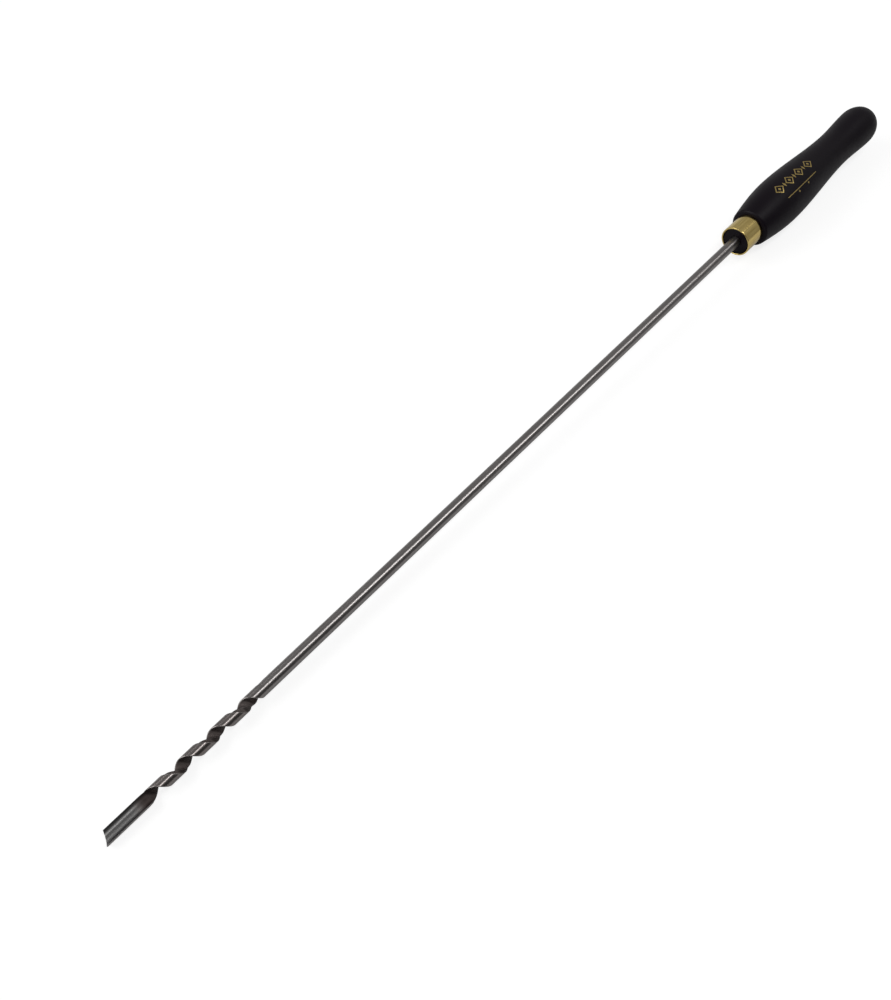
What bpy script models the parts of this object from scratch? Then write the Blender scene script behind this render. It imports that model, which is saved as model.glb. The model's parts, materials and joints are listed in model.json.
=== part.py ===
"""A lathe boring auger: a steel spoon auger in a turned handle with a brass ferrule, lying on a bench.

Metres, +Z up, +X from the cutting tip to the handle. The tool rests on its tip and on the belly of its handle.
"""

import math

import bmesh
import bpy

# Auger, from the tip to the end of the tang
CUT_D = 0.0079
SHANK_D = 0.0075
SPOON_LENGTH = 0.0297
TWIST_LENGTH = 0.0605
RUN_OUT_LENGTH = 0.0253
SHANK_LENGTH = 0.4576
TANG_LENGTH = 0.0866
TANG_TAPER_LENGTH = 0.014
TANG_END_D = 0.0052

# Flute, milled with a round cutter and twisted to the right
FLUTE_R = 0.0047
SPOON_FLOOR = -0.0013
TWIST_FLOOR = 0.0009
TWIST_PITCH = 0.0223
EDGE_RELIEF = 0.0024
RELIEF_ARC = math.radians(132)
SPOON_BLEND_LENGTH = 0.006

# Cutting lip, ground at a slant across the end of the spoon; a curve of 1 is a straight slant
LIP_LEAD = 0.0040
LIP_CURVE = 0.9
LIP_CLEARANCE_ANGLE = math.radians(5)

# Ferrule
FERRULE_D = 0.0222
FERRULE_WALL = 0.0010
FERRULE_LENGTH = 0.0177
FERRULE_EDGE = 0.0003

# Handle, from its spigot to its butt
SPIGOT_RECESS = 0.0005
SPIGOT_EDGE = 0.0006
SHOULDER_D = 0.0284
SHOULDER_LENGTH = 0.0022
BELLY_D = 0.0360
BELLY_RUN = 0.0380
WAIST_D = 0.0268
WAIST_RUN = 0.0808
BUTT_D = 0.0296
BUTT_RUN = 0.034
BUTT_ROUND = 0.016
BUTT_FLAT_D = 0.010
DRILL_POINT_ANGLE = math.radians(59)

# Fits
CLEARANCE = 0.0003

# Facets
SIDES = 32
FLUTE_SEGMENTS = 13
RINGS_A_TURN = 20
SPOON_RINGS = 7
CURVE_STEPS = 8
ROUND_STEPS = 5
BISECTIONS = 50
SHARP_ANGLE = math.radians(35)
MERGE_DISTANCE = 0.00001

# Places along the axis, from the tip
TWIST_START = SPOON_LENGTH
SPOON_BLEND_START = TWIST_START - SPOON_BLEND_LENGTH / 2
RUN_OUT_START = TWIST_START + TWIST_LENGTH
FLUTE_END = RUN_OUT_START + RUN_OUT_LENGTH
FERRULE_FRONT = FLUTE_END + SHANK_LENGTH
FERRULE_BACK = FERRULE_FRONT + FERRULE_LENGTH
TANG_END = FERRULE_FRONT + SPIGOT_RECESS + TANG_LENGTH
SHOULDER_FRONT = FERRULE_BACK + CLEARANCE
SHOULDER_TOP = SHOULDER_FRONT + SHOULDER_LENGTH
BELLY_AT = SHOULDER_TOP + BELLY_RUN
WAIST_AT = BELLY_AT + WAIST_RUN
BUTT_AT = WAIST_AT + BUTT_RUN
BUTT_END = BUTT_AT + BUTT_ROUND


def ease(share):
    """A smooth step from 0 to 1."""
    share = min(max(share, 0.0), 1.0)
    return share * share * (3.0 - 2.0 * share)


def make_material(name, colour, roughness, metallic):
    material = bpy.data.materials.new(name)
    material.use_nodes = True
    shader = material.node_tree.nodes["Principled BSDF"]
    shader.inputs["Base Color"].default_value = (*colour, 1.0)
    shader.inputs["Roughness"].default_value = roughness
    shader.inputs["Metallic"].default_value = metallic
    return material


def place(name, mesh, material, collection, parent):
    mesh.materials.append(material)
    part = bpy.data.objects.new(name, mesh)
    part.parent = parent
    collection.objects.link(part)
    return part


# Auger

def bar_radius(x):
    """The bar is full size at the spoon and a little slimmer behind it, so that only the spoon cuts."""
    slim = ease((x - SPOON_BLEND_START) / SPOON_BLEND_LENGTH)
    return CUT_D / 2 + (SHANK_D - CUT_D) / 2 * slim


def flute_floor(x):
    """Height of the flute's floor over the bar's axis, towards the open side."""
    shallow = (x - TWIST_START) / TWIST_LENGTH
    floor = SPOON_FLOOR + (TWIST_FLOOR - SPOON_FLOOR) * min(max(shallow, 0.0), 1.0)
    lift = max((x - RUN_OUT_START) / RUN_OUT_LENGTH, 0.0) ** 2
    return floor + (bar_radius(x) - floor) * lift


def edge_relief(x):
    """How far the twist is ground back towards its open side; the spoon and the shank aren't."""
    grows = ease((x - SPOON_BLEND_START) / SPOON_BLEND_LENGTH)
    fades = ease((FLUTE_END - x) / RUN_OUT_LENGTH)
    return EDGE_RELIEF * grows * fades


def flute_turn(x):
    """Angle of the open side about the axis; it faces up along the spoon."""
    return 2 * math.pi * max(x - TWIST_START, 0.0) / TWIST_PITCH


def land_point(x, angle):
    """A point of the bar's outside, as (across, up) with the open side up."""
    drawn_in = max(1.0 - angle / RELIEF_ARC, 0.0)
    radius = bar_radius(x) - edge_relief(x) * drawn_in
    return radius * math.sin(angle), radius * math.cos(angle)


def rim_angle(x, side):
    """Angle from the open side to the rim where the flute meets the outside, on the side given by its sign."""
    centre = flute_floor(x) + FLUTE_R
    inner, outer = 0.0, math.pi
    for _ in range(BISECTIONS):
        middle = (inner + outer) / 2
        across, up = land_point(x, middle if side > 0 else 2 * math.pi - middle)
        if math.hypot(across, up - centre) < FLUTE_R:
            inner = middle
        else:
            outer = middle
    return outer


def fluted_section(x):
    """The bar's outline at x: along the flute from rim to rim, then back around the outside."""
    centre = flute_floor(x) + FLUTE_R
    lead = rim_angle(x, 1)
    trail = 2 * math.pi - rim_angle(x, -1)
    across_lead, up_lead = land_point(x, lead)
    across_trail, up_trail = land_point(x, trail)
    start = math.atan2(across_trail, centre - up_trail)
    end = math.atan2(across_lead, centre - up_lead)
    outline = []
    for i in range(FLUTE_SEGMENTS):
        angle = start + (end - start) * i / FLUTE_SEGMENTS
        outline.append((FLUTE_R * math.sin(angle), centre - FLUTE_R * math.cos(angle)))
    for i in range(FLUTE_SEGMENTS):
        outline.append(land_point(x, lead + (trail - lead) * i / FLUTE_SEGMENTS))
    return outline


def round_section(radius):
    """A plain circle with as many points as a fluted section, starting at the same place."""
    count = 2 * FLUTE_SEGMENTS
    angles = [2 * math.pi * (i / count - 0.25) for i in range(count)]
    return [(radius * math.sin(a), radius * math.cos(a)) for a in angles]


def turned_point(x, across, up, turn):
    """A section's point in the bar's own frame; across is towards -Y while the open side faces up."""
    sine, cosine = math.sin(turn), math.cos(turn)
    return x, -across * cosine - up * sine, up * cosine - across * sine


def lip_setback(across, up):
    """How far behind the leading corner the ground end of the spoon lies."""
    radius = CUT_D / 2
    share = min(max((across / radius + 1) / 2, 0.0), 1.0)
    corner = land_point(0.0, rim_angle(0.0, 1))
    slant = LIP_LEAD * (1 - share**LIP_CURVE)
    return slant + (corner[1] - up) * math.tan(LIP_CLEARANCE_ANGLE)


def auger_rings():
    rings = []
    for i in range(SPOON_RINGS):
        share = i / SPOON_RINGS
        ring = []
        for across, up in fluted_section(SPOON_LENGTH * share):
            end = lip_setback(across, up)
            ring.append(turned_point(end + (SPOON_LENGTH - end) * share, across, up, 0.0))
        rings.append(ring)
    length = FLUTE_END - TWIST_START
    count = math.ceil(RINGS_A_TURN * length / TWIST_PITCH)
    for i in range(count):
        x = TWIST_START + length * i / count
        rings.append([turned_point(x, a, u, flute_turn(x)) for a, u in fluted_section(x)])
    plain = [
        (FLUTE_END + SHANK_D, SHANK_D / 2),
        (TANG_END - TANG_TAPER_LENGTH, SHANK_D / 2),
        (TANG_END, TANG_END_D / 2),
    ]
    for x, radius in plain:
        rings.append([turned_point(x, a, u, flute_turn(FLUTE_END)) for a, u in round_section(radius)])
    return rings


def make_auger(material, collection, parent):
    """A loft through unlike sections: spoon, twisted flute, round shank and tapered tang."""
    bm = bmesh.new()
    rings = [[bm.verts.new(point) for point in ring] for ring in auger_rings()]
    count = 2 * FLUTE_SEGMENTS
    for near, far in zip(rings, rings[1:]):
        for i in range(count):
            j = (i + 1) % count
            bm.faces.new((near[i], near[j], far[j], far[i]))
    tip = rings[0]
    bm.faces.new((tip[0], tip[1], tip[-1]))
    for i in range(1, FLUTE_SEGMENTS - 1):
        bm.faces.new((tip[i], tip[i + 1], tip[-i - 1], tip[-i]))
    bm.faces.new((tip[FLUTE_SEGMENTS - 1], tip[FLUTE_SEGMENTS], tip[FLUTE_SEGMENTS + 1]))
    bm.faces.new(rings[-1])
    bmesh.ops.recalc_face_normals(bm, faces=bm.faces)
    mesh = bpy.data.meshes.new("auger")
    bm.to_mesh(mesh)
    bm.free()
    mesh.shade_smooth()
    mesh.set_sharp_from_angle(angle=SHARP_ANGLE)
    return place("auger", mesh, material, collection, parent)


# Turned pieces

def make_turned(name, profile, closed, material, collection, parent):
    """Turns a profile of (x, radius) points about the X axis; its outer side runs from the butt to the tip."""
    count = len(profile)
    edges = [(i, i + 1) for i in range(count - 1)]
    if closed:
        edges.append((count - 1, 0))
    mesh = bpy.data.meshes.new(name)
    mesh.from_pydata([(x, radius, 0.0) for x, radius in profile], edges, [])
    part = place(name, mesh, material, collection, parent)
    # Half a facet round, so that the piece lies on a facet and not on an edge
    part.rotation_euler.x = math.pi / SIDES
    screw = part.modifiers.new("turn", "SCREW")
    screw.axis = "X"
    screw.angle = 2 * math.pi
    screw.steps = SIDES
    screw.render_steps = SIDES
    screw.use_merge_vertices = True
    screw.merge_threshold = MERGE_DISTANCE
    screw.use_smooth_shade = True
    return part


def make_ferrule(material, collection, parent):
    outer = FERRULE_D / 2
    inner = outer - FERRULE_WALL
    edge = FERRULE_EDGE
    profile = [
        (FERRULE_BACK, outer),
        (FERRULE_FRONT + edge, outer),
        (FERRULE_FRONT, outer - edge),
        (FERRULE_FRONT, inner + edge),
        (FERRULE_FRONT + edge, inner),
        (FERRULE_BACK, inner),
    ]
    return make_turned("ferrule", profile, True, material, collection, parent)


def curve_points(start, end, radius_at):
    """Profile points from start to end, with their radius from a formula of the share of the way."""
    shares = [i / CURVE_STEPS for i in range(CURVE_STEPS)]
    return [(start + (end - start) * s, radius_at(s)) for s in shares]


def handle_profile():
    """The handle's outside from the butt to the shoulder, then the spigot, then the bore for the tang."""
    belly, waist, butt = BELLY_D / 2, WAIST_D / 2, BUTT_D / 2
    shoulder, flat = SHOULDER_D / 2, BUTT_FLAT_D / 2
    spigot = FERRULE_D / 2 - FERRULE_WALL - CLEARANCE
    front = FERRULE_FRONT + SPIGOT_RECESS
    bore = SHANK_D / 2 + CLEARANCE
    bore_end = TANG_END + CLEARANCE
    seat = FERRULE_D / 2

    profile = [(BUTT_END, 0.0)]
    for i in range(ROUND_STEPS):
        angle = math.pi / 2 * i / ROUND_STEPS
        x = BUTT_AT + BUTT_ROUND * math.cos(angle)
        profile.append((x, flat + (butt - flat) * math.sin(angle)))
    profile += curve_points(BUTT_AT, WAIST_AT, lambda s: butt + (waist - butt) * ease(s))
    profile += curve_points(WAIST_AT, BELLY_AT, lambda s: waist + (belly - waist) * ease(s))
    profile += curve_points(
        BELLY_AT, SHOULDER_TOP, lambda s: shoulder + (belly - shoulder) * math.cos(math.pi / 2 * s)
    )
    for i in range(ROUND_STEPS + 1):
        angle = math.pi / 2 * i / ROUND_STEPS
        x = SHOULDER_FRONT + SHOULDER_LENGTH * (1 - math.sin(angle))
        profile.append((x, seat + (shoulder - seat) * math.cos(angle)))
    profile += [
        (SHOULDER_FRONT, spigot),
        (front + SPIGOT_EDGE, spigot),
        (front, spigot - SPIGOT_EDGE),
        (front, bore),
        (bore_end, bore),
        (bore_end + bore / math.tan(DRILL_POINT_ANGLE), 0.0),
    ]
    return profile


def make_handle(material, collection, parent):
    return make_turned("handle", handle_profile(), False, material, collection, parent)


# The tool as it lies

def rest_pose():
    """Height of the tip's axis and the axis's slope, with the spoon's heel and the handle's belly on the bench."""
    facet = math.cos(math.pi / SIDES)
    handle = [(x, radius * facet) for x, radius in handle_profile()]
    tip = auger_rings()[0]
    slope = min(max(math.atan2(depth + z, far - x) for far, depth in handle) for x, _, z in tip)
    height = max(-z * math.cos(slope) - x * math.sin(slope) for x, _, z in tip)
    return height, slope


def main():
    for old in list(bpy.data.objects):
        bpy.data.objects.remove(old, do_unlink=True)
    collection = bpy.data.collections.new("lathe_boring_auger")
    bpy.context.scene.collection.children.link(collection)

    height, slope = rest_pose()
    axis = bpy.data.objects.new("tool_axis", None)
    axis.location = (-BUTT_END * math.cos(slope) / 2, 0.0, height)
    axis.rotation_euler.y = -slope
    collection.objects.link(axis)

    steel = make_material("steel", (0.30, 0.29, 0.28), 0.3, 1.0)
    brass = make_material("brass", (0.72, 0.53, 0.22), 0.22, 1.0)
    lacquer = make_material("black_lacquer", (0.012, 0.012, 0.014), 0.3, 0.0)
    make_auger(steel, collection, axis)
    make_ferrule(brass, collection, axis)
    make_handle(lacquer, collection, axis)


main()
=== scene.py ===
import json
import math

import bmesh
import bpy
from mathutils import Matrix, Vector


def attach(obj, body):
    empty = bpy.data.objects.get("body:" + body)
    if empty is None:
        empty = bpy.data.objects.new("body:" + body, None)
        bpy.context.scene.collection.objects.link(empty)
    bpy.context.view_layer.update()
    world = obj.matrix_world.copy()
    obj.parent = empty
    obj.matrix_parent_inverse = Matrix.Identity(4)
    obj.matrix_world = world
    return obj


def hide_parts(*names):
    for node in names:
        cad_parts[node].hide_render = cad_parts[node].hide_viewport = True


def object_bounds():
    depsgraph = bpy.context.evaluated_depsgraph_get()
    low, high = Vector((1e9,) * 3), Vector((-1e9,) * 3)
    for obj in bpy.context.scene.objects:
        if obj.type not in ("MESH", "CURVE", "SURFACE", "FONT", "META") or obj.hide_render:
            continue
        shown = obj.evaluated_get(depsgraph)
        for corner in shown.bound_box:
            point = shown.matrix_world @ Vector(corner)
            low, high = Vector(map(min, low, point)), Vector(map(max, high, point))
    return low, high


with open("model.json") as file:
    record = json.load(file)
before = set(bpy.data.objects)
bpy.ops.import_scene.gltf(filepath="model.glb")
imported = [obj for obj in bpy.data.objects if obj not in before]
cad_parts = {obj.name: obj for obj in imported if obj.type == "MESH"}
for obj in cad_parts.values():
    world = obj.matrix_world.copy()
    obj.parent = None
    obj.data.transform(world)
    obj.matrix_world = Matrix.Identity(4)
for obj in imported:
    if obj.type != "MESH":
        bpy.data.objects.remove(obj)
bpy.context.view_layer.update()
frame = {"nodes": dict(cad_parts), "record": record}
print("frame loaded:", ", ".join(sorted(frame["nodes"])))


# Where the tool lies: x from the cutting tip to the butt, z towards the spoon's open side

buttFace = frame["record"]["mounts"][0]
buttPoint = Vector(buttFace["pos_m"])
alongTool = Vector(buttFace["axis"]).normalized()
acrossTool = Vector((0, 1, 0))
upTool = alongTool.cross(acrossTool)
augerPoints = [v.co for v in frame["nodes"]["auger"].data.vertices]
tipPoint = buttPoint + alongTool * min((p - buttPoint).dot(alongTool) for p in augerPoints)
toolPlace = Matrix((alongTool, acrossTool, upTool)).transposed().to_4x4()
toolPlace.translation = tipPoint
toolSlope = math.atan2(alongTool.z, alongTool.x)


def reach(node):  # a CAD node's first and last station along the tool, and its largest radius
    inTool = toolPlace.inverted()
    points = [inTool @ v.co for v in frame["nodes"][node].data.vertices]
    stations = [p.x for p in points]
    return min(stations), max(stations), max(math.hypot(p.y, p.z) for p in points)


_, tangEnd, spoonRadius = reach("auger")
ferruleFront, ferruleBack, ferruleRadius = reach("ferrule")
spigotFront, buttEnd, bellyRadius = reach("handle")
print(f"tool axis found, {buttEnd * 1000:.1f} mm from tip to butt")


# Node helpers

class Wire:  # a node's output that can be added, multiplied and so on; each step becomes a Math node

    def __init__(self, tree, socket):
        self.tree = tree
        self.socket = socket

    def also(self, name):  # another output of the same node
        return Wire(self.tree, self.socket.node.outputs[name])

    def math(self, operation, *others):
        return addNode(self.tree, "ShaderNodeMath", [self, *others], operation=operation)

    def __add__(self, other):
        return self.math("ADD", other)

    def __sub__(self, other):
        return self.math("SUBTRACT", other)

    def __rsub__(self, other):
        return self.math("MULTIPLY_ADD", -1.0, other)

    def __mul__(self, other):
        return self.math("MULTIPLY", other)

    def __rmul__(self, other):
        return self.math("MULTIPLY", other)

    def __truediv__(self, other):
        return self.math("DIVIDE", other)

    def sin(self):
        return self.math("SINE")

    def cos(self):
        return self.math("COSINE")

    def clamp(self, low=0.0, high=1.0):
        return self.math("MAXIMUM", low).math("MINIMUM", high)

    def eased(self):  # a smooth step from 0 to 1
        share = self.clamp()
        return share * share * (3.0 - share * 2.0)

    def easedBetween(self, start, full):  # a smooth step from 0 at start to 1 at full
        return ((self - start) / (full - start)).eased()


def addNode(tree, kind, inputs=(), output=0, **settings):
    node = tree.nodes.new(kind)
    for name, value in settings.items():
        setattr(node, name, value)
    for key, value in inputs.items() if isinstance(inputs, dict) else enumerate(inputs):
        if isinstance(value, Wire):
            tree.links.new(value.socket, node.inputs[key])
        else:
            node.inputs[key].default_value = value
    return Wire(tree, node.outputs[output])


def newGroup(name, kind, inputs, outputs, extra=()):  # extra: (name, socket type) of inputs without a value
    tree = bpy.data.node_groups.new(name, kind)
    for title, value in inputs.items():
        socketType = "NodeSocketVector" if isinstance(value, tuple) else "NodeSocketFloat"
        socket = tree.interface.new_socket(title, in_out="INPUT", socket_type=socketType)
        socket.default_value = value
    for title, socketType in extra:
        tree.interface.new_socket(title, in_out="INPUT", socket_type=socketType)
    for title, socketType in outputs.items():
        tree.interface.new_socket(title, in_out="OUTPUT", socket_type=socketType)
    entry = tree.nodes.new("NodeGroupInput")
    wires = {title: Wire(tree, entry.outputs[title]) for title in [*inputs, *(title for title, _ in extra)]}
    return tree, wires


def closeGroup(tree, results):
    leaving = tree.nodes.new("NodeGroupOutput")
    for title, wire in results.items():
        tree.links.new(wire.socket, leaving.inputs[title])


# Mesh helpers

weldDistance = 0.000001
sharpAngle = math.radians(35)  # edges that turn more than this keep a crisp line


def joinAll(tree, parts):
    joined = tree.nodes.new("GeometryNodeJoinGeometry")
    for part in parts:
        tree.links.new(part.socket, joined.inputs[0])
    return Wire(tree, joined.outputs[0])


def weldAll(tree, parts):
    joined = joinAll(tree, parts)
    return addNode(tree, "GeometryNodeMergeByDistance", {"Geometry": joined, "Distance": weldDistance})


def pointPlace(tree):  # the x, y and z of each point, as the outputs of one node
    point = addNode(tree, "GeometryNodeInputPosition")
    return addNode(tree, "ShaderNodeSeparateXYZ", [point], output="X")


def closeMesh(tree, mesh, material):  # every piece's tree ends in real geometry with its material
    mesh = addNode(tree, "GeometryNodeRealizeInstances", [mesh])
    mesh = addNode(tree, "GeometryNodeSetMaterial", {"Geometry": mesh, "Material": material})
    closeGroup(tree, {"Mesh": mesh})


def meshFromTree(name, tree, values):  # runs a Geometry Nodes tree once and keeps the result as a plain mesh
    piece = bpy.data.objects.new(name, bpy.data.meshes.new(name))
    bpy.context.scene.collection.objects.link(piece)
    modifier = piece.modifiers.new("nodes", "NODES")
    modifier.node_group = tree
    for item in tree.interface.items_tree:
        if item.item_type == "SOCKET" and item.in_out == "INPUT" and item.name in values:
            modifier[item.identifier] = values[item.name]
    evaluated = piece.evaluated_get(bpy.context.evaluated_depsgraph_get())
    mesh = bpy.data.meshes.new_from_object(evaluated)
    mesh.name = name
    piece.modifiers.remove(modifier)
    piece.data = mesh
    return piece


def putInPlace(piece, node):  # from the tool's own axes into the frame
    mesh = piece.data
    mesh.transform(toolPlace)
    mesh.shade_smooth()
    mesh.set_sharp_from_angle(angle=sharpAngle)
    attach(piece, "root")
    if node:
        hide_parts(node)
    print(f"{piece.name}: {len(mesh.polygons)} faces")


# Shared shader effects

def spreadMask(noise, contrast):  # noise pulled away from its middle, kept between 0 and 1
    return ((noise - 0.5) * contrast + 0.5).clamp()


def markGroup():  # fine marks left by grinding, turning or polishing: stretched noise
    tree, wire = newGroup(
        "toolMarks", "ShaderNodeTree",
        {"Vector": (0, 0, 0), "Marks Per Metre": (1, 1, 1), "Contrast": 1.0},
        {"Mask": "NodeSocketFloat"},
    )
    stretched = addNode(
        tree, "ShaderNodeVectorMath", [wire["Vector"], wire["Marks Per Metre"]], operation="MULTIPLY",
    )
    noise = addNode(
        tree, "ShaderNodeTexNoise",
        {"Vector": stretched, "Scale": 1.0, "Detail": 3.0, "Roughness": 0.6},
    )
    closeGroup(tree, {"Mask": spreadMask(noise, wire["Contrast"])})
    return tree


def cloudGroup():  # slow patches of tone, as from oil, heat or handling
    tree, wire = newGroup(
        "cloudedTone", "ShaderNodeTree",
        {"Vector": (0, 0, 0), "Patches Per Metre": 40.0, "Contrast": 1.5},
        {"Mask": "NodeSocketFloat"},
    )
    noise = addNode(
        tree, "ShaderNodeTexNoise",
        {"Vector": wire["Vector"], "Scale": wire["Patches Per Metre"], "Detail": 4.0, "Roughness": 0.55},
    )
    closeGroup(tree, {"Mask": spreadMask(noise, wire["Contrast"])})
    return tree


toolMarks = markGroup()
cloudedTone = cloudGroup()


def newMaterial(name):  # a material, its tree, its Principled shader and the tool's own coordinates
    material = bpy.data.materials.new(name)
    material.use_nodes = True
    tree = material.node_tree
    shader = tree.nodes["Principled BSDF"]
    spot = addNode(tree, "ShaderNodeTexCoord", output="Object")
    inTool = addNode(
        tree, "ShaderNodeMapping",
        {"Vector": spot, "Location": tuple(tipPoint), "Rotation": (0, -toolSlope, 0)},
        vector_type="TEXTURE",
    )
    return material, tree, shader, inTool


def effect(tree, group, spot, values):  # a shared effect with one finish's own values
    return addNode(tree, "ShaderNodeGroup", {"Vector": spot, **values}, node_tree=group)


def patchy(mask, share):  # 1 where the mask is full, and less by up to this share where it is empty
    return mask * share + (1.0 - share)


def mixColours(tree, factor, first, second):  # the Mix node's colour sockets go by number
    return addNode(tree, "ShaderNodeMix", {0: factor, 6: first, 7: second}, output=2, data_type="RGBA")


def feed(tree, wire, shader, socket):
    tree.links.new(wire.socket, shader.inputs[socket])


def feedBump(tree, height, finish, shader):
    values = {"Height": height, "Distance": finish["markDepth"], "Strength": finish["markStrength"]}
    feed(tree, addNode(tree, "ShaderNodeBump", values), shader, "Normal")


# Steel

steelFinish = {
    "ground": (0.300, 0.286, 0.280, 1),  # the plain bar
    "oiled": (0.251, 0.234, 0.229, 1),  # darker patches and streaks on it
    "satin": (0.158, 0.156, 0.155, 1),  # the spoon's hollow
    "scale": (0.066, 0.050, 0.046, 1),  # the twisted flute
    "heated": (0.235, 0.208, 0.200, 1),  # the lands beside it
    "worn": (0.38, 0.358, 0.348, 1),  # the flute's rims
    "scaleStart": 0.019,
    "scaleFull": 0.0275,
    "heatedFull": 0.088,
    "heatedEnd": 0.108,
    "oilInPatches": 0.7,
    "oilInStreaks": 0.3,
    "patchyScale": 0.3,
    "patchyHeat": 0.4,
    "wearInStreaks": 0.8,
    "wearAllOver": 0.1,
    "roughness": 0.25,  # what follows is added to it
    "ringRoughness": 0.06,
    "streakRoughness": 0.05,
    "satinRoughness": 0.12,
    "scaleRoughness": 0.48,
    "brushed": 0.7,  # polished in rings, so the gloss runs along the bar
    "rings": {"Marks Per Metre": (2400, 160, 160), "Contrast": 1.6},
    "streaks": {"Marks Per Metre": (22, 900, 900), "Contrast": 1.8},
    "patches": {"Patches Per Metre": 55.0, "Contrast": 2.2},
    "ringHeight": 0.4,
    "streakHeight": 0.6,
    "markDepth": 0.00001,
    "markStrength": 0.18,
}


def steelMaterial():
    finish = steelFinish
    material, tree, shader, spot = newMaterial("groundSteel")
    flute = addNode(tree, "ShaderNodeAttribute", output="Fac", attribute_name="flute")
    rim = addNode(tree, "ShaderNodeAttribute", output="Fac", attribute_name="rim")
    station = addNode(tree, "ShaderNodeSeparateXYZ", [spot])
    rings = effect(tree, toolMarks, spot, finish["rings"])
    streaks = effect(tree, toolMarks, spot, finish["streaks"])
    patches = effect(tree, cloudedTone, spot, finish["patches"])

    inTwist = station.easedBetween(finish["scaleStart"], finish["scaleFull"])
    scale = flute * inTwist * patchy(patches, finish["patchyScale"])
    satin = flute * (1.0 - inTwist)
    heated = (1.0 - flute) * inTwist * station.easedBetween(finish["heatedEnd"], finish["heatedFull"])
    worn = rim * (streaks * finish["wearInStreaks"] + finish["wearAllOver"])
    oiled = patches * finish["oilInPatches"] + streaks * finish["oilInStreaks"]

    tone = mixColours(tree, oiled.clamp(), finish["ground"], finish["oiled"])
    tone = mixColours(tree, heated * patchy(patches, finish["patchyHeat"]), tone, finish["heated"])
    tone = mixColours(tree, satin, tone, finish["satin"])
    tone = mixColours(tree, scale, tone, finish["scale"])
    tone = mixColours(tree, worn.clamp(), tone, finish["worn"])
    feed(tree, tone, shader, "Base Color")
    rough = scale * finish["scaleRoughness"] + satin * finish["satinRoughness"]
    rough = rough + rings * finish["ringRoughness"] + streaks * finish["streakRoughness"]
    feed(tree, rough + finish["roughness"], shader, "Roughness")
    feedBump(tree, rings * finish["ringHeight"] + streaks * finish["streakHeight"], finish, shader)
    feed(tree, addNode(tree, "ShaderNodeCombineXYZ", list(alongTool)), shader, "Tangent")
    shader.inputs["Anisotropic"].default_value = finish["brushed"]
    shader.inputs["Metallic"].default_value = 1.0
    return material


# Auger bar: spoon, twisted flute, round shank and tang, as one Geometry Nodes tree

augerSizes = {
    "Spoon Width": 2 * spoonRadius,
    "Shank Width": 0.0075,
    "Spoon Length": 0.0297,
    "Twist Length": 0.0605,
    "Run Out": 0.0253,
    "Blend Length": 0.006,
    "Flute Radius": 0.0048,
    "Spoon Floor": -0.0013,
    "Twist Floor": 0.0009,
    "Pitch": 0.0223,
    "Land Relief": 0.00227,
    "Relief Arc": math.radians(127),
    "Flank Hollow": 0.00012,
    "Edge Round": 0.00016,
    "Trail Round": 0.0008,
    "Ridge Round": 0.0007,
    "Lip Lead": 0.0040,
    "Lip Curve": 0.9,
    "Lip Clearance": math.tan(math.radians(5)),
    "Settle Length": 0.008,
    "Tang End": tangEnd,
    "Tang Taper": 0.014,
    "Tang Width": 0.0052,
}
augerMesh = {
    "spoonRings": 60,
    "twistRings": 320,
    "settleRings": 12,
    "shankRings": 44,
    "columns": 96,
    "cornerColumns": 6,
    "flankColumns": 10,
    "lipSteps": 5,
    "rimPasses": 8,
    "ridgeAt": 0.5,  # half of the outline's points lie in the flute, before the leading ridge
    "shankSeam": 0.25,  # how far before the open side the outline starts on the plain shank, in turns
    "largestRound": 0.3,  # a rounding takes at most this share of the flute's width
    "flankSpan": 0.8,  # the flank's length, as a share of the bar's radius
}


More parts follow.
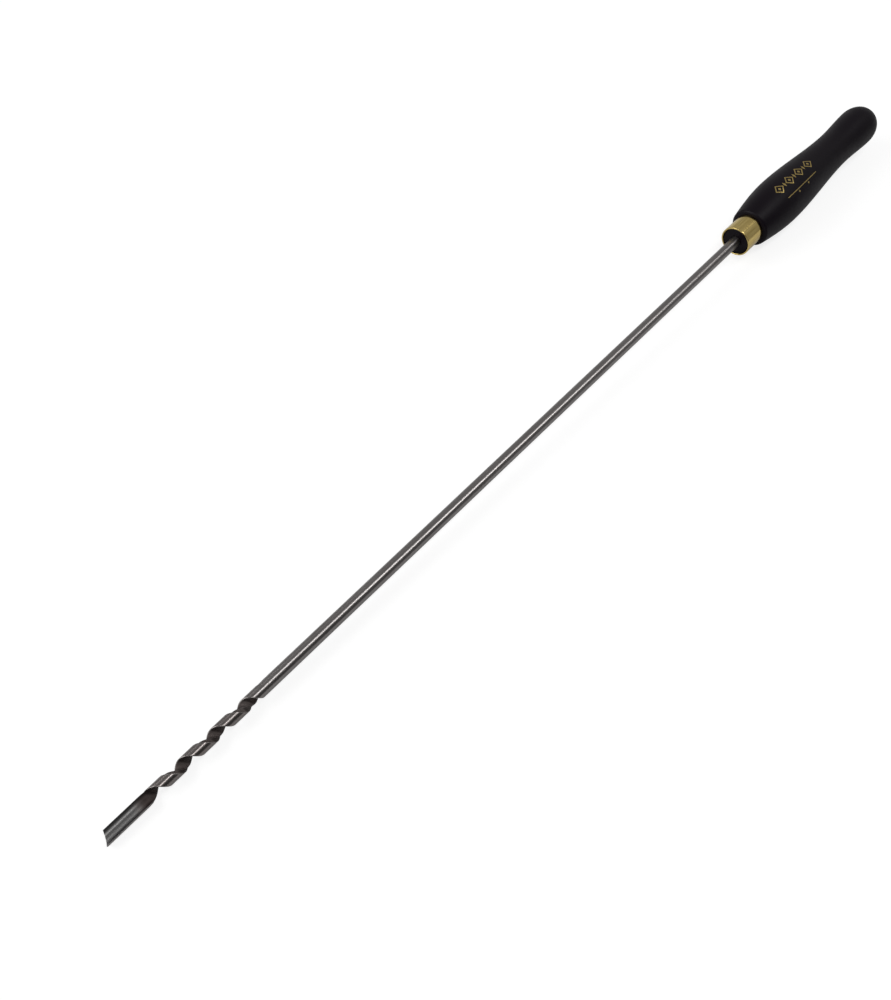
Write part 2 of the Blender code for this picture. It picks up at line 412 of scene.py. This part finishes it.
def fluteSection():
    tree, size = newGroup(
        "fluteSection", "GeometryNodeTree", {"Station": 0.0, "Share": 0.0, **augerSizes},
        {title: "NodeSocketFloat" for title in ("Across", "Up", "Flute", "Rim")},
    )
    station, share = size["Station"], size["Share"]
    spoonEnd = size["Spoon Length"]
    fluteEnd = spoonEnd + size["Twist Length"] + size["Run Out"]
    cutter = size["Flute Radius"]
    reliefArc = size["Relief Arc"]

    # the bar's radius, and the flute's floor rising out of it
    blend = ((station - spoonEnd) / size["Blend Length"] + 0.5).eased()
    radius = size["Spoon Width"] / 2.0 + (size["Shank Width"] - size["Spoon Width"]) / 2.0 * blend
    rise = ((station - spoonEnd) / size["Twist Length"]).clamp()
    floor = size["Spoon Floor"] + (size["Twist Floor"] - size["Spoon Floor"]) * rise
    lift = ((station - spoonEnd - size["Twist Length"]) / size["Run Out"]).clamp()
    centre = floor + (radius - floor) * lift * lift + cutter

    # 1 where the leading flank is ground away
    relieved = blend * ((fluteEnd - station) / size["Run Out"]).eased()
    relief = size["Land Relief"] * relieved

    def rimAngle(rimRadius):  # from the open side to where the flute meets a wall of this radius
        cosine = (rimRadius * rimRadius + centre * centre - cutter * cutter) / (rimRadius * centre * 2.0)
        return cosine.clamp(-1.0, 1.0).math("ARCCOSINE")

    def wallPoint(angle, wallRadius):
        return wallRadius * angle.sin(), wallRadius * angle.cos()

    def flutePoint(angle):
        return cutter * angle.sin(), centre - cutter * angle.cos()

    def roundCorner(start, peak, end, t):
        s = 1.0 - t
        return [a * s * s + b * s * t * 2.0 + c * t * t for a, b, c in zip(start, peak, end)]

    # the leading ridge stands lower than the land, so it is found in steps
    trail = rimAngle(radius)
    lead = trail
    for _ in range(augerMesh["rimPasses"]):
        ridgeRadius = radius - relief * (1.0 - lead / reliefArc).math("MAXIMUM", 0.0)
        lead = rimAngle(ridgeRadius)
    landAngle = reliefArc.math("MAXIMUM", lead)
    ridge = wallPoint(lead, ridgeRadius)
    landEdge = wallPoint(landAngle, radius)
    trailRim = wallPoint(math.tau - trail, radius)
    first = trailRim[0].math("ARCTAN2", centre - trailRim[1])
    last = ridge[0].math("ARCTAN2", centre - ridge[1])

    def flankPoint(t):  # straight and a little hollow in the twist, round like the bar elsewhere
        hollow = t * (1.0 - t) * size["Flank Hollow"] * 4.0
        straight = [a + (b - a) * t for a, b in zip(ridge, landEdge)]
        straight[0] = straight[0] - hollow
        bar = wallPoint(lead + (landAngle - lead) * t, radius)
        return [outer + (inner - outer) * relieved for inner, outer in zip(straight, bar)]

    # how far each rounding reaches from its corner
    largestRound = (last - first) * cutter * augerMesh["largestRound"]
    edgeSoft = largestRound.math("MINIMUM", size["Edge Round"])
    ridgeSoft, trailSoft = [
        largestRound.math("MINIMUM", size["Edge Round"] + (size[title] - size["Edge Round"]) * relieved)
        for title in ("Ridge Round", "Trail Round")
    ]
    flankLength = radius * augerMesh["flankSpan"] + edgeSoft

    # the outline runs from the trailing rim along the flute and over the ridge,
    # then down the flank and back round the land
    ridgeAt = augerMesh["ridgeAt"]
    corner = augerMesh["cornerColumns"] / 2 / augerMesh["columns"]
    flankRun = augerMesh["flankColumns"] / augerMesh["columns"]
    landStart = ridgeAt + 3 * corner + flankRun
    fluteShare = ((share - corner) / (ridgeAt - 2 * corner)).clamp()
    flankShare = ((share - ridgeAt - corner) / flankRun).clamp()
    landShare = ((share - landStart) / (1.0 - corner - landStart)).clamp()
    fluteAngles = first + trailSoft / cutter, last - ridgeSoft / cutter
    flankEnds = ridgeSoft / flankLength, 1.0 - edgeSoft / flankLength
    landAngles = landAngle + edgeSoft / radius, math.tau - trail - trailSoft / radius
    fluteFrom, fluteTo = [flutePoint(angle) for angle in fluteAngles]
    flankFrom, flankTo = [flankPoint(t) for t in flankEnds]
    landFrom, landTo = [wallPoint(angle, radius) for angle in landAngles]
    trailOut = (share / (2 * corner) + 0.5).clamp(0.5, 1.0)
    ridgeOver = ((share - ridgeAt + corner) / (2 * corner)).clamp()
    edgeOver = ((share - landStart + 2 * corner) / (2 * corner)).clamp()
    trailIn = ((share - 1.0 + corner) / (2 * corner)).clamp(0.0, 0.5)
    outline = roundCorner(landTo, trailRim, fluteFrom, trailOut)
    walks = [
        (flutePoint(fluteAngles[0] + (fluteAngles[1] - fluteAngles[0]) * fluteShare), fluteFrom),
        (roundCorner(fluteTo, ridge, flankFrom, ridgeOver), fluteTo),
        (flankPoint(flankEnds[0] + (flankEnds[1] - flankEnds[0]) * flankShare), flankFrom),
        (roundCorner(flankTo, landEdge, landFrom, edgeOver), flankTo),
        (wallPoint(landAngles[0] + (landAngles[1] - landAngles[0]) * landShare, radius), landFrom),
        (roundCorner(landTo, trailRim, fluteFrom, trailIn), landTo),
    ]
    for reached, begun in walks:  # each stretch adds how far it has gone from its own start
        outline = [total + to - back for total, to, back in zip(outline, reached, begun)]

    # behind the flute the points spread evenly round the plain shank, which tapers at the tang
    plain = station.math("GREATER_THAN", fluteEnd)
    spread = ((station - fluteEnd) / size["Settle Length"]).eased()
    barShare = (flankShare * reliefArc + landShare * (math.tau - reliefArc)) / math.tau
    angle = (barShare + (share - augerMesh["shankSeam"] - barShare) * spread) * math.tau
    taper = ((station - size["Tang End"]) / size["Tang Taper"] + 1.0).clamp()
    shank = radius + (size["Tang Width"] / 2.0 - radius) * taper
    across = outline[0] + (shank * angle.sin() - outline[0]) * plain
    up = outline[1] + (shank * angle.cos() - outline[1]) * plain

    # masks for the finish: the hollow with its ground flank, and the rims that rub
    edgeAt = landStart - corner
    scoop = (share / corner).math("MINIMUM", (edgeAt - share) / corner).clamp()
    onFlank = ((share - ridgeAt) / corner).clamp()
    inFlute = scoop * (1.0 - onFlank * (1.0 - relieved)) * (1.0 - plain)
    nearTrail = 1.0 - share.math("MINIMUM", 1.0 - share) / (2 * corner)
    nearEdge = (1.0 - (share - edgeAt).math("ABSOLUTE") / (2 * corner)) * relieved
    nearRidge = (1.0 - (share - ridgeAt).math("ABSOLUTE") / (2 * corner)) * (1.0 - relieved)
    nearRim = nearTrail.math("MAXIMUM", nearEdge).math("MAXIMUM", nearRidge).clamp() * (1.0 - plain)
    closeGroup(tree, {"Across": across, "Up": up, "Flute": inFlute, "Rim": nearRim})
    return tree


def augerTree():
    tree, size = newGroup(
        "augerBar", "GeometryNodeTree", augerSizes, {"Mesh": "NodeSocketGeometry"},
        [("Steel", "NodeSocketMaterial")],
    )
    sectionTree = fluteSection()
    spoonEnd = size["Spoon Length"]
    fluteLength = size["Twist Length"] + size["Run Out"]

    def sectionAt(station, share):
        sizes = {title: size[title] for title in augerSizes}
        return addNode(
            tree, "GeometryNodeGroup", {"Station": station, "Share": share, **sizes},
            output="Across", node_tree=sectionTree,
        )

    def lipSetback(across, up):  # how far behind the leading corner the ground end of the spoon lies
        radius = size["Spoon Width"] / 2.0
        cutter = size["Flute Radius"]
        centre = size["Spoon Floor"] + cutter
        cornerUp = (radius * radius + centre * centre - cutter * cutter) / (centre * 2.0)
        over = ((across / radius + 1.0) / 2.0).clamp()
        slant = size["Lip Lead"] * (1.0 - over.math("POWER", size["Lip Curve"]))
        return slant + (cornerUp - up) * size["Lip Clearance"]

    def unitGrid(rows, columns):  # a flat grid and each point's share of the way along both its sides
        grid = addNode(tree, "GeometryNodeMeshGrid", [1.0, 1.0, rows, columns], output="Mesh")
        place = pointPlace(tree)
        return grid, place + 0.5, place.also("Y") + 0.5

    def moved(geometry, x, y, z, flute, rim):
        for title, value in (("flute", flute), ("rim", rim)):
            geometry = addNode(
                tree, "GeometryNodeStoreNamedAttribute",
                {"Geometry": geometry, "Name": title, "Value": value},
                data_type="FLOAT", domain="POINT",
            )
        spot = addNode(tree, "ShaderNodeCombineXYZ", [x, y, z])
        geometry = addNode(tree, "GeometryNodeSetPosition", {"Geometry": geometry, "Position": spot})
        return addNode(tree, "GeometryNodeFlipFaces", [geometry])

    # the bar: rings close together along the twist and far apart along the plain shank
    stretches = [
        (augerMesh["spoonRings"], spoonEnd),
        (augerMesh["twistRings"], fluteLength),
        (augerMesh["settleRings"], size["Settle Length"]),
        (augerMesh["shankRings"], size["Tang End"] - spoonEnd - fluteLength - size["Settle Length"]),
    ]
    ringCount = sum(count for count, _ in stretches)
    grid, ringShare, share = unitGrid(ringCount + 2, augerMesh["columns"] + 1)
    ring = ringShare * float(ringCount + 1)
    station = 0.0
    begun = 0
    for count, length in stretches:
        station = ((ring - float(begun)) / float(count)).clamp() * length + station
        begun += count
    section = sectionAt(station, share)
    tangOpen = ring.math("LESS_THAN", ringCount + 0.5)  # the last ring closes the tang
    across = section * tangOpen
    up = section.also("Up") * tangOpen
    setback = lipSetback(across, up) * (1.0 - station / spoonEnd).math("MAXIMUM", 0.0)
    turn = (station - spoonEnd).clamp(0.0, fluteLength) / size["Pitch"] * math.tau
    aside = -1.0 * across * turn.cos() - up * turn.sin()
    above = up * turn.cos() - across * turn.sin()
    bar = moved(grid, station + setback, aside, above, section.also("Flute"), section.also("Rim"))

    # the ground lip: from each point of the flute straight across the wall to the outside
    grid, along, through = unitGrid(augerMesh["columns"] // 2 + 1, augerMesh["lipSteps"] + 1)
    inside = sectionAt(0.0, along * augerMesh["ridgeAt"])
    outside = sectionAt(0.0, 1.0 - along * augerMesh["ridgeAt"])
    across = inside + (outside - inside) * through
    up = inside.also("Up") + (outside.also("Up") - inside.also("Up")) * through
    lip = moved(grid, lipSetback(across, up), -1.0 * across, up, 0.0, inside.also("Rim"))

    closeMesh(tree, weldAll(tree, (bar, lip)), size["Steel"])
    return tree


def makeAuger():
    auger = meshFromTree("auger_bar", augerTree(), {**augerSizes, "Steel": steelMaterial()})
    putInPlace(auger, "auger")


# Turned pieces

# a profile is (station, radius) points from the butt to the tip, its outside first
def turnedMesh(name, profile, sides, closed):
    bm = bmesh.new()
    rings = []
    for x, radius in profile:
        count = sides if radius > 0 else 1
        angles = [math.tau * i / count for i in range(count)]
        rings.append([bm.verts.new((x, radius * math.cos(a), radius * math.sin(a))) for a in angles])
    pairs = list(zip(rings, rings[1:]))
    if closed:
        pairs.append((rings[-1], rings[0]))
    for near, far in pairs:
        for i in range(sides):
            j = (i + 1) % sides
            corners = [near[i % len(near)], near[j % len(near)], far[j % len(far)], far[i % len(far)]]
            bm.faces.new(list(dict.fromkeys(corners)))
    bmesh.ops.recalc_face_normals(bm, faces=bm.faces)
    mesh = bpy.data.meshes.new(name)
    bm.to_mesh(mesh)
    bm.free()
    piece = bpy.data.objects.new(name, mesh)
    bpy.context.scene.collection.objects.link(piece)
    return piece


def arc(centre, radius, start, end, steps):  # (station, radius) points of a round edge, angles in degrees
    angles = [math.radians(start + (end - start) * i / steps) for i in range(steps + 1)]
    return [(centre[0] + radius * math.cos(a), centre[1] + radius * math.sin(a)) for a in angles]


def ease(share):
    return share * share * (3 - 2 * share)


# Brass ferrule

ferruleShape = {
    "wall": 0.0010,
    "frontRound": 0.0003,
    "innerRound": 0.0003,
    "backRound": 0.0002,
    "edgeBand": 0.0003,
    "roundSteps": 6,
    "sides": 160,
}
brassFinish = {
    "polished": (0.85, 0.66, 0.26, 1),
    "tarnished": (0.52, 0.37, 0.11, 1),
    "tarnishInPatches": 0.2,
    "tarnishInStreaks": 0.55,
    "roughness": 0.08,  # what follows is added to it
    "ringRoughness": 0.05,
    "patchRoughness": 0.06,
    "rings": {"Marks Per Metre": (3200, 120, 120), "Contrast": 1.5},
    "streaks": {"Marks Per Metre": (40, 650, 650), "Contrast": 3.0},
    "patches": {"Patches Per Metre": 160.0, "Contrast": 2.0},
    "markDepth": 0.00001,
    "markStrength": 0.08,
}


def brassMaterial():
    finish = brassFinish
    material, tree, shader, spot = newMaterial("polishedBrass")
    rings = effect(tree, toolMarks, spot, finish["rings"])
    streaks = effect(tree, toolMarks, spot, finish["streaks"])
    patches = effect(tree, cloudedTone, spot, finish["patches"])
    tarnish = patches * finish["tarnishInPatches"] + streaks * finish["tarnishInStreaks"]
    feed(tree, mixColours(tree, tarnish, finish["polished"], finish["tarnished"]), shader, "Base Color")
    rough = rings * finish["ringRoughness"] + patches * finish["patchRoughness"]
    feed(tree, rough + finish["roughness"], shader, "Roughness")
    feedBump(tree, rings, finish, shader)
    shader.inputs["Metallic"].default_value = 1.0
    return material


def makeFerrule():
    shape = ferruleShape
    outer = ferruleRadius
    inner = outer - shape["wall"]
    front, inside, back = shape["frontRound"], shape["innerRound"], shape["backRound"]
    steps = shape["roundSteps"]
    profile = arc((ferruleBack - back, outer - back), back, 0, 90, steps)
    band = shape["edgeBand"]  # narrow rings keep the long plain wall from shading as part of its edges
    profile += [(ferruleBack - back - band, outer), (ferruleFront + front + band, outer)]
    profile += arc((ferruleFront + front, outer - front), front, 90, 180, steps)
    profile += arc((ferruleFront + inside, inner + inside), inside, 180, 270, steps)
    profile.append((ferruleBack, inner))
    ferrule = turnedMesh("ferrule_tube", profile, shape["sides"], closed=True)
    ferrule.data.materials.append(brassMaterial())
    putInPlace(ferrule, "ferrule")


# Lacquered handle

handleShape = {
    "gap": 0.0003,
    "shoulderRadius": 0.0142,
    "shoulderLength": 0.0022,
    "bellyRun": 0.0380,
    "waistRadius": 0.0134,
    "waistRun": 0.0808,
    "buttRadius": 0.0148,
    "buttRun": 0.034,
    "buttFlat": 0.005,
    "spigotEdge": 0.0006,
    "drillPoint": math.radians(59),
    "curveSteps": 48,
    "roundSteps": 14,
    "sides": 192,
}
lacquerFinish = {
    "black": (0.0034, 0.0016, 0.0042, 1),
    "thin": (0.0050, 0.0028, 0.0052, 1),
    "thinInGrain": 0.6,
    "thinInPatches": 0.4,
    "roughness": 0.38,  # what follows is added to it
    "patchRoughness": 0.08,
    "turningRoughness": 0.05,
    "ior": 1.22,
    "grain": {"Marks Per Metre": (14, 620, 620), "Contrast": 2.2},
    "turning": {"Marks Per Metre": (1500, 30, 30), "Contrast": 1.4},
    "patches": {"Patches Per Metre": 70.0, "Contrast": 2.0},
    "grainHeight": 0.6,
    "turningHeight": 0.4,
    "markDepth": 0.00002,
    "markStrength": 0.3,
}


def lacquerMaterial():
    finish = lacquerFinish
    material, tree, shader, spot = newMaterial("blackLacquer")
    grain = effect(tree, toolMarks, spot, finish["grain"])
    turning = effect(tree, toolMarks, spot, finish["turning"])
    patches = effect(tree, cloudedTone, spot, finish["patches"])
    thin = grain * finish["thinInGrain"] + patches * finish["thinInPatches"]
    feed(tree, mixColours(tree, thin.clamp(), finish["black"], finish["thin"]), shader, "Base Color")
    rough = patches * finish["patchRoughness"] + turning * finish["turningRoughness"]
    feed(tree, rough + finish["roughness"], shader, "Roughness")
    feedBump(tree, grain * finish["grainHeight"] + turning * finish["turningHeight"], finish, shader)
    shader.inputs["IOR"].default_value = finish["ior"]
    return material


def handleProfile():
    shape = handleShape
    curve, edge = shape["curveSteps"], shape["roundSteps"]
    flat, butt, waist = shape["buttFlat"], shape["buttRadius"], shape["waistRadius"]
    belly, shoulder = bellyRadius, shape["shoulderRadius"]
    spigot = ferruleRadius - ferruleShape["wall"] - shape["gap"]
    bore = augerSizes["Shank Width"] / 2 + shape["gap"]
    shoulderFront = ferruleBack + shape["gap"]
    shoulderTop = shoulderFront + shape["shoulderLength"]
    bellyAt = shoulderTop + shape["bellyRun"]
    waistAt = bellyAt + shape["waistRun"]
    buttAt = waistAt + shape["buttRun"]

    profile = [(buttEnd, 0.0)]
    for i in range(edge):
        angle = math.pi / 2 * i / edge
        x = buttAt + (buttEnd - buttAt) * math.cos(angle)
        profile.append((x, flat + (butt - flat) * math.sin(angle)))
    for start, end, first, last in ((buttAt, waistAt, butt, waist), (waistAt, bellyAt, waist, belly)):
        for i in range(curve):
            profile.append((start + (end - start) * i / curve, first + (last - first) * ease(i / curve)))
    for i in range(curve):
        fall = math.cos(math.pi / 2 * i / curve)
        profile.append((bellyAt + (shoulderTop - bellyAt) * i / curve, shoulder + (belly - shoulder) * fall))
    for i in range(edge + 1):
        angle = math.pi / 2 * i / edge
        x = shoulderTop + (shoulderFront - shoulderTop) * math.sin(angle)
        profile.append((x, ferruleRadius + (shoulder - ferruleRadius) * math.cos(angle)))
    boreEnd = tangEnd + shape["gap"]
    profile += [
        (shoulderFront, spigot),
        (spigotFront + shape["spigotEdge"], spigot),
        (spigotFront, spigot - shape["spigotEdge"]),
        (spigotFront, bore),
        (boreEnd, bore),
        (boreEnd + bore / math.tan(shape["drillPoint"]), 0.0),
    ]
    return profile


def makeHandle():
    handle = turnedMesh("handle_body", handleProfile(), handleShape["sides"], closed=False)
    handle.data.materials.append(lacquerMaterial())
    return handle


# Gold foil ornament on the handle: a row of open and small lozenges beside a thin rule with two dots

foilSizes = {
    "Start": 0.0490,
    "Pitch": 0.0132,
    "Count": 4,
    "Half Length": 0.0048,
    "Half Height": 0.0042,
    "Open Share": 0.74,
    "Seed Size": 0.0013,
    "Spacer Size": 0.0010,
    "Spacer Stretch": 2.2,
    "Rule Offset": 0.0088,
    "Rule Length": 0.0400,
    "Rule Width": 0.0006,
    "Dot Spread": 1.22,
    "Turned To": math.radians(8),
    "Wrap Radius": 0.0172,
    "Thickness": 0.00005,
    "Sunk": 0.00002,
}
foilMesh = {
    "ringCuts": 3,
    "lozengeCuts": 2,
    "rulePoints": 41,
    "rayStart": 0.05,  # outside the handle, measured from its axis
}
foilFinish = {
    "gold": (0.62, 0.46, 0.165, 1),
    "rubbed": (0.20, 0.145, 0.055, 1),
    "rubbedShare": 0.6,
    "roughness": 0.24,  # what follows is added to it
    "rubbedRoughness": 0.12,
    "grainRoughness": 0.08,
    "patches": {"Patches Per Metre": 900.0, "Contrast": 2.6},
    "grain": {"Marks Per Metre": (300, 1500, 1500), "Contrast": 1.8},
    "markDepth": 0.00001,
    "markStrength": 0.3,
}


def foilMaterial():
    finish = foilFinish
    material, tree, shader, spot = newMaterial("goldFoil")
    rubbed = effect(tree, cloudedTone, spot, finish["patches"])
    grain = effect(tree, toolMarks, spot, finish["grain"])
    tone = mixColours(tree, rubbed * finish["rubbedShare"], finish["gold"], finish["rubbed"])
    feed(tree, tone, shader, "Base Color")
    rough = rubbed * finish["rubbedRoughness"] + grain * finish["grainRoughness"]
    feed(tree, rough + finish["roughness"], shader, "Roughness")
    feedBump(tree, grain, finish, shader)
    shader.inputs["Metallic"].default_value = 1.0
    return material


def foilTree():
    lengths = {title: value for title, value in foilSizes.items() if title != "Count"}
    tree, size = newGroup(
        "foilOrnament", "GeometryNodeTree", lengths, {"Mesh": "NodeSocketGeometry"},
        [("Count", "NodeSocketInt"), ("Handle", "NodeSocketObject"), ("Foil", "NodeSocketMaterial")],
    )
    start, pitch = size["Start"], size["Pitch"]

    def vector(x, y, z):
        return addNode(tree, "ShaderNodeCombineXYZ", [x, y, z])

    def scaled(direction, length):
        return addNode(tree, "ShaderNodeVectorMath", {0: direction, "Scale": length}, operation="SCALE")

    def added(first, second):
        return addNode(tree, "ShaderNodeVectorMath", [first, second], operation="ADD")

    def finer(mesh, level):
        return addNode(tree, "GeometryNodeSubdivideMesh", {"Mesh": mesh, "Level": level})

    def repeated(shape, count, firstX, side, scaleX, scaleY):
        points = addNode(
            tree, "GeometryNodeMeshLine",
            {"Count": count, "Start Location": vector(firstX, side, 0.0), "Offset": vector(pitch, 0.0, 0.0)},
        )
        return addNode(
            tree, "GeometryNodeInstanceOnPoints",
            {"Points": points, "Instance": shape, "Scale": vector(scaleX, scaleY, 1.0)},
        )

    # the flat pattern
    ring = addNode(
        tree, "GeometryNodeMeshCone",
        {"Vertices": 4, "Radius Top": size["Open Share"], "Radius Bottom": 1.0, "Depth": 0.0},
        output="Mesh", fill_type="NONE",
    )
    ring = finer(ring, foilMesh["ringCuts"])
    lozenge = addNode(tree, "GeometryNodeMeshCircle", {"Vertices": 4, "Radius": 1.0}, fill_type="NGON")
    lozenge = finer(lozenge, foilMesh["lozengeCuts"])
    rule = addNode(tree, "GeometryNodeMeshGrid", [1.0, 1.0, foilMesh["rulePoints"], 2], output="Mesh")
    middle = start + pitch * (size["Count"] - 1.0) / 2.0
    seed, spacer = size["Seed Size"], size["Spacer Size"]
    spacerHeight = spacer * size["Spacer Stretch"]
    ruleOffset, dotOffset = size["Rule Offset"], size["Rule Offset"] * size["Dot Spread"]
    pattern = joinAll(tree, (
        repeated(ring, size["Count"], start, 0.0, size["Half Length"], size["Half Height"]),
        repeated(lozenge, size["Count"], start, 0.0, seed, seed),
        repeated(lozenge, size["Count"] - 1.0, start + pitch / 2.0, 0.0, spacer, spacerHeight),
        repeated(rule, 1, middle, ruleOffset, size["Rule Length"], size["Rule Width"]),
        repeated(lozenge, 2, middle - pitch / 2.0, dotOffset, spacer, spacer),
    ))
    sheet = addNode(tree, "GeometryNodeRealizeInstances", [pattern])

    # a thin closed leaf: raised top and walls, and the turned-over sheet under them
    upwards = vector(0.0, 0.0, 1.0)
    top = addNode(
        tree, "GeometryNodeExtrudeMesh",
        {"Mesh": sheet, "Offset": upwards, "Offset Scale": size["Thickness"], "Individual": False},
        output="Mesh", mode="FACES",
    )
    leaf = weldAll(tree, (top, addNode(tree, "GeometryNodeFlipFaces", [sheet])))

    # wrapped onto the handle: x stays, y goes round, and the height is measured from the surface
    place = pointPlace(tree)
    angle = place.also("Y") / size["Wrap Radius"] + size["Turned To"]
    outwards = vector(0.0, angle.sin() * -1.0, angle.cos())
    source = added(vector(place, 0.0, 0.0), scaled(outwards, foilMesh["rayStart"]))
    inwards = scaled(outwards, -1.0)
    ray = {"Source Position": source, "Ray Direction": inwards, "Ray Length": 2 * foilMesh["rayStart"]}
    surface = addNode(
        tree, "GeometryNodeObjectInfo", {"Object": size["Handle"]},
        output="Geometry", transform_space="ORIGINAL",
    )
    hit = addNode(
        tree, "GeometryNodeRaycast", {"Target Geometry": surface, **ray},
        output="Hit Position", data_type="FLOAT",
    )
    wrapped = added(hit, scaled(outwards, place.also("Z") - size["Sunk"]))
    leaf = addNode(tree, "GeometryNodeSetPosition", {"Geometry": leaf, "Position": wrapped})
    leaf = addNode(tree, "GeometryNodeFlipFaces", [leaf])  # wrapping turned the leaf inside out
    closeMesh(tree, leaf, size["Foil"])
    return tree


def makeFoil(handle):
    start = ferruleFront + foilSizes["Start"]
    values = {**foilSizes, "Start": start, "Handle": handle, "Foil": foilMaterial()}
    foil = meshFromTree("handle_foil", foilTree(), values)
    putInPlace(foil, None)


# Stage

def seenShare(tree, cameraShare, glossShare):  # how much of the white that lies behind the tool a ray sees
    camera = addNode(tree, "ShaderNodeLightPath", output="Is Camera Ray")
    gloss = camera.also("Is Glossy Ray") + camera.also("Is Transmission Ray")
    return (camera * cameraShare + gloss * glossShare).clamp()


floorFinish = {
    "size": 24,
    "colour": (0.56, 0.56, 0.56, 1),
    "glow": 1.62,
    "cameraShare": 0.5,
    "glossShare": 0.07,
}


def paleFloor(height):
    bpy.ops.mesh.primitive_plane_add(size=floorFinish["size"], location=(0, 0, height))
    floor = bpy.context.object
    floor.name = "floor"
    material = bpy.data.materials.new("paleFloor")
    material.use_nodes = True
    tree = material.node_tree
    tree.nodes.remove(tree.nodes["Principled BSDF"])
    seen = seenShare(tree, floorFinish["cameraShare"], floorFinish["glossShare"])
    lit = addNode(tree, "ShaderNodeBsdfDiffuse", {"Color": floorFinish["colour"]})
    white = addNode(tree, "ShaderNodeEmission", {"Color": (1, 1, 1, 1), "Strength": floorFinish["glow"]})
    both = addNode(tree, "ShaderNodeMixShader", [seen, lit, white])
    tree.links.new(both.socket, tree.nodes["Material Output"].inputs["Surface"])
    floor.data.materials.append(material)


studio = {
    "backWall": 0.244,
    "backWallFar": 0.344,
    "openSide": 0.018,
    "openSideFar": 0.25,
    "farFrom": 0.3,  # the part of a direction that points towards the butt
    "farFull": 0.6,
    "openFrom": -0.05,  # the part that points towards the back wall
    "openFull": -0.7,
    "horizon": 0.64,
    "horizonTop": 0.12,
    "paper": 0.86,
    "cameraShare": 1.0,
    "glossShare": 0.05,
}


def studioWorld():
    world = bpy.data.worlds.new("studio")
    bpy.context.scene.world = world
    world.use_nodes = True
    tree = world.node_tree
    direction = addNode(tree, "ShaderNodeTexCoord", output="Generated")
    towardsButt = addNode(tree, "ShaderNodeSeparateXYZ", [direction], output="X")
    towardsBack, height = towardsButt.also("Y"), towardsButt.also("Z")
    far = towardsButt.easedBetween(studio["farFrom"], studio["farFull"])
    back = far * (studio["backWallFar"] - studio["backWall"]) + studio["backWall"]
    front = far * (studio["openSideFar"] - studio["openSide"]) + studio["openSide"]
    openness = towardsBack.easedBetween(studio["openFrom"], studio["openFull"])
    level = back + (front - back) * openness
    low = (1.0 - (height / studio["horizonTop"]).eased()) * (1.0 - openness)
    level = level + (studio["horizon"] - level) * low
    level = level + (studio["paper"] - level) * seenShare(tree, studio["cameraShare"], studio["glossShare"])
    tree.links.new(level.socket, tree.nodes["Background"].inputs["Color"])


lamps = {
    "overheadTip": {"place": (-0.15, -0.42, 1.4), "aim": (-0.15, 0, 0), "size": (1.1, 0.24), "power": 4.7},
    "overheadMiddle": {"place": (0.72, -0.66, 1.4), "aim": (0.72, 0, 0), "size": (0.7, 0.38), "power": 5.4},
    "overheadEnd": {"place": (1.26, -0.36, 1.4), "aim": (1.26, 0, 0), "size": (0.32, 0.24), "power": 0.8},
    "softWindow": {"place": (-2.0, 2.0, 1.9), "aim": (0, 0, 0), "size": (2.6, 1.8), "power": 64.0},
}


def makeLamps():
    for name, lamp in lamps.items():
        light = bpy.data.lights.new(name, "AREA")
        light.shape = "RECTANGLE"
        light.size, light.size_y = lamp["size"]
        light.energy = lamp["power"]
        holder = bpy.data.objects.new(name, light)
        holder.location = lamp["place"]
        towards = Vector(lamp["aim"]) - Vector(lamp["place"])
        holder.rotation_euler = towards.to_track_quat("-Z", "Y").to_euler()
        bpy.context.scene.collection.objects.link(holder)


shot = {
    "lens": 41.4,
    "sensor": 36.0,
    "nearest": 0.01,
    "place": (-0.43124, -0.26582, 0.55197),
    "tilt": math.radians(37.671),
    "heading": math.radians(-49.198),
}


def makeCamera():
    camera = bpy.data.cameras.new("photoView")
    camera.lens = shot["lens"]
    camera.sensor_width = shot["sensor"]
    camera.clip_start = shot["nearest"]
    holder = bpy.data.objects.new("photoView", camera)
    holder.location = shot["place"]
    holder.rotation_euler = (shot["tilt"], 0, shot["heading"])
    bpy.context.scene.collection.objects.link(holder)
    bpy.context.scene.camera = holder


makeCamera()
makeAuger()
makeFerrule()
handle = makeHandle()
makeFoil(handle)  # laid on the handle while both are in the tool's own axes
putInPlace(handle, "handle")
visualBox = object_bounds()
paleFloor(visualBox[0].z)
studioWorld()
makeLamps()
bpy.context.scene.view_settings.view_transform = "Standard"
print("stage and lamps ready")
